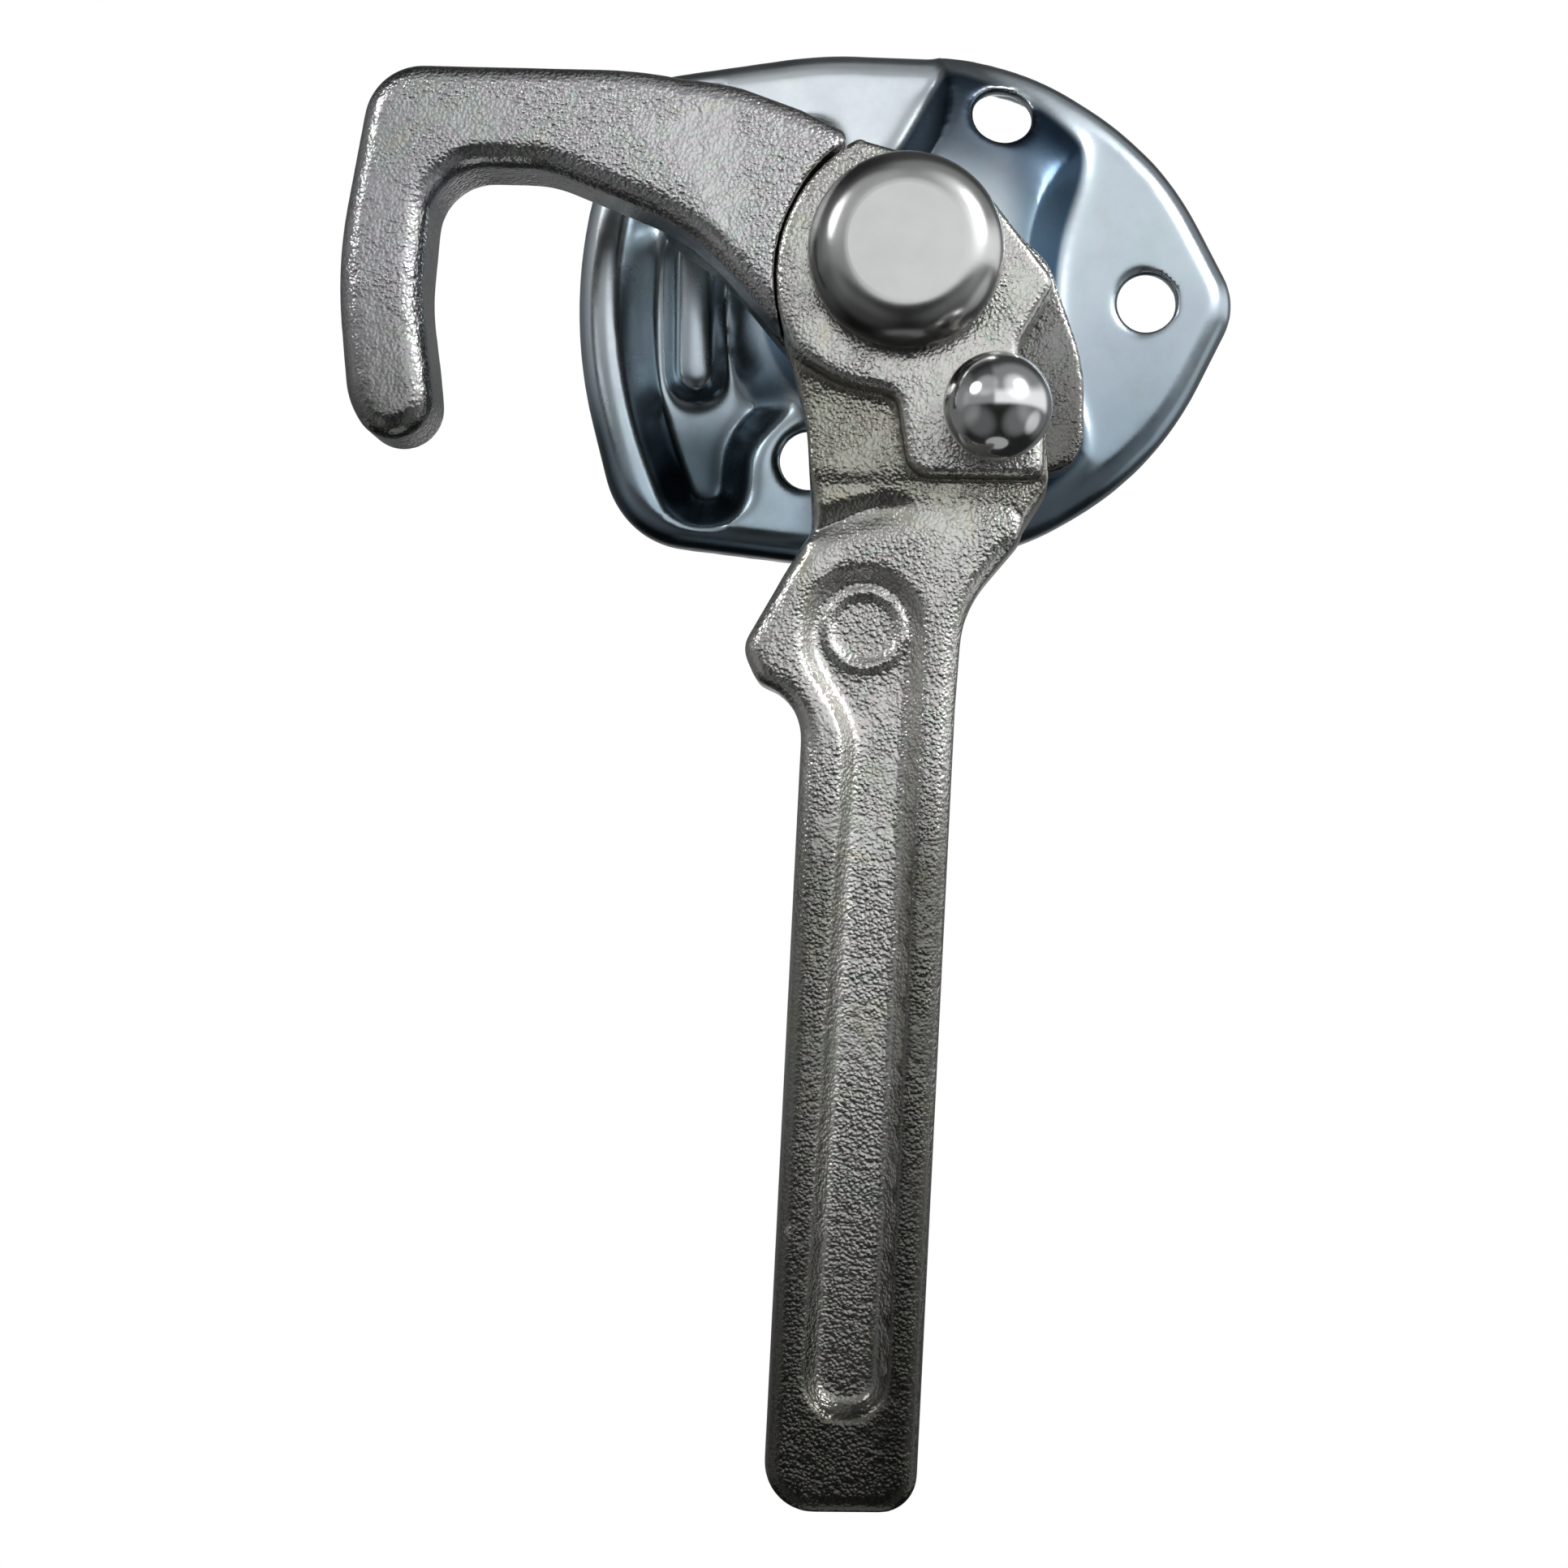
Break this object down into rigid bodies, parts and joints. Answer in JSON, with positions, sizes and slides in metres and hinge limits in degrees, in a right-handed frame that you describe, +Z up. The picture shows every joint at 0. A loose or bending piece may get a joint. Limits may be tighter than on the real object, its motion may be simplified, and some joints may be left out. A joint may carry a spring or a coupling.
{
  "type": "over centre toggle latch",
  "caption": "Over-centre toggle latch: a forged hook turned by an eccentric lever handle on a domed rivet in a pressed, drilled backing plate; ball-headed pin on the handle's lug",
  "frame": {"origin": "on the axis of the pivot pin, in the plane that the back of the plate is screwed against", "axes": "+Z up along the closed handle, the front looks along -Y, +X to the right seen from the front, away from the hook"},
  "size_m": [0.1235, 0.0547, 0.2041],
  "materials": {
    "plate_zinc": "smooth bright zinc plate with a blue tint",
    "pin_steel": "satin zinc plate, slightly worn",
    "washer_steel": "satin zinc plate",
    "handle_zinc": "granular forging under bright zinc plate",
    "hook_zinc": "granular forging under bright zinc plate",
    "ball_steel": "polished"
  },
  "bodies": {
    "plate": {"backing_plate": "plate_zinc", "pivot_pin": "pin_steel", "seat_washer": "washer_steel", "rear_washer": "washer_steel"},
    "handle": {"handle": "handle_zinc", "ball_pin": "ball_steel"},
    "hook": {"hook": "hook_zinc"}
  },
  "joints": [
    {"name": "handle_turn", "type": "hinge", "parent": "plate", "child": "handle", "pos_m": [0, -0.033, 0], "axis": [0, -1, 0], "range_deg": [0, 165]},
    {"name": "hook_swing", "type": "hinge", "parent": "handle", "child": "hook", "pos_m": [0.0036, -0.0217, -0.0025], "axis": [0, -1, 0], "range_deg": [-145, 0]}
  ]
}
